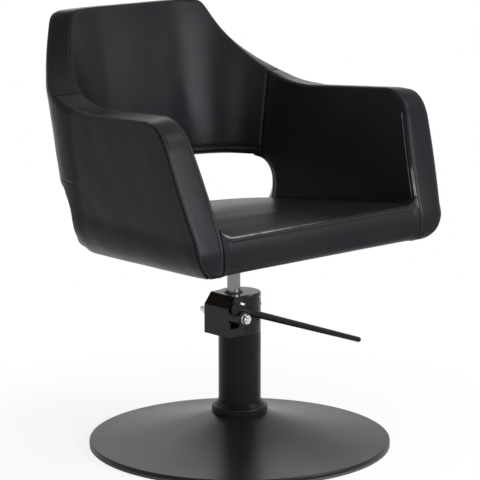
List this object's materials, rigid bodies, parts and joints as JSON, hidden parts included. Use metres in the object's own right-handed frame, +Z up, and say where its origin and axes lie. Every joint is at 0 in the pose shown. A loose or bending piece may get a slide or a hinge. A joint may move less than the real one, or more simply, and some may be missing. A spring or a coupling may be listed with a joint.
{
  "type": "hydraulic salon chair",
  "caption": "Salon styling chair: black upholstered tub seat with lumbar window that swivels on a foot-pumped hydraulic column with a round floor base.",
  "frame": {"origin": "centre of the round base on the floor", "axes": "+Z up, the seat faces -Y, the pedal reaches towards +X"},
  "size_m": [0.656, 0.6173, 0.815],
  "materials": {
    "leather_black": "soft satin, fine grain",
    "base_black": "satin powder coat",
    "pump_black": "gloss enamel",
    "pump_casting": "gloss enamel over casting",
    "collar_black": "smooth satin",
    "chrome": "polished",
    "zinc_steel": "zinc plated",
    "plain_steel": "oiled",
    "rubber_black": "matte",
    "bronze": "turned",
    "plywood": "raw plywood"
  },
  "bodies": {
    "base": {"floor_ring": "rubber_black", "floor_plate": "plain_steel", "base_cover": "base_black", "base_collar": "collar_black", "column_tube": "pump_black", "foot_bolts": "zinc_steel", "pressure_cylinder": "plain_steel", "pump_head": "pump_casting", "head_screws": "chrome", "oil_plug": "pump_black", "ram_guide": "bronze", "ram_wiper": "rubber_black", "shaft_bushes": "bronze"},
    "pedal": {"pedal_shaft": "chrome", "shaft_washers": "chrome", "shaft_nuts": "chrome", "pedal_hub": "pump_black", "pedal_rod": "pump_black", "clamp_screw": "chrome", "pump_cam": "plain_steel"},
    "plunger": {"pump_plunger": "plain_steel", "plunger_spring": "zinc_steel"},
    "ram": {"ram": "chrome", "piston": "plain_steel", "piston_seal": "rubber_black", "thrust_ring": "bronze"},
    "seat": {"swivel_socket": "pump_black", "mount_plate": "pump_black", "mount_bolts": "zinc_steel", "tee_nuts": "zinc_steel", "seat_board": "plywood", "seat_cushion": "leather_black", "left_arm": "leather_black", "right_arm": "leather_black", "left_arm_board": "plywood", "right_arm_board": "plywood", "back_pad": "leather_black", "back_board": "plywood", "rear_rail": "leather_black", "frame_screws": "zinc_steel"}
  },
  "joints": [
    {"name": "pedal_hinge", "type": "hinge", "parent": "base", "child": "pedal", "pos_m": [-0.048, 0, 0.261], "axis": [0, 1, 0], "range_deg": [0, 22], "stiffness_Nm_per_rad": 6, "springref_deg": -17.19},
    {"name": "plunger_slide", "type": "slide", "parent": "base", "child": "plunger", "axis": [0, 0, -1], "range_m": [0, 0.0042], "deforming": ["plunger_spring"]},
    {"name": "seat_lift", "type": "slide", "parent": "base", "child": "ram", "axis": [0, 0, 1], "range_m": [-0.038, 0.11]},
    {"name": "seat_swivel", "type": "hinge", "parent": "ram", "child": "seat", "pos_m": [-0.015, 0, 0.36], "axis": [0, 0, 1], "continuous": true}
  ],
  "couplings": [
    {"joint": "plunger_slide", "follows": "pedal_hinge", "m_per_rad": 0.01}
  ]
}
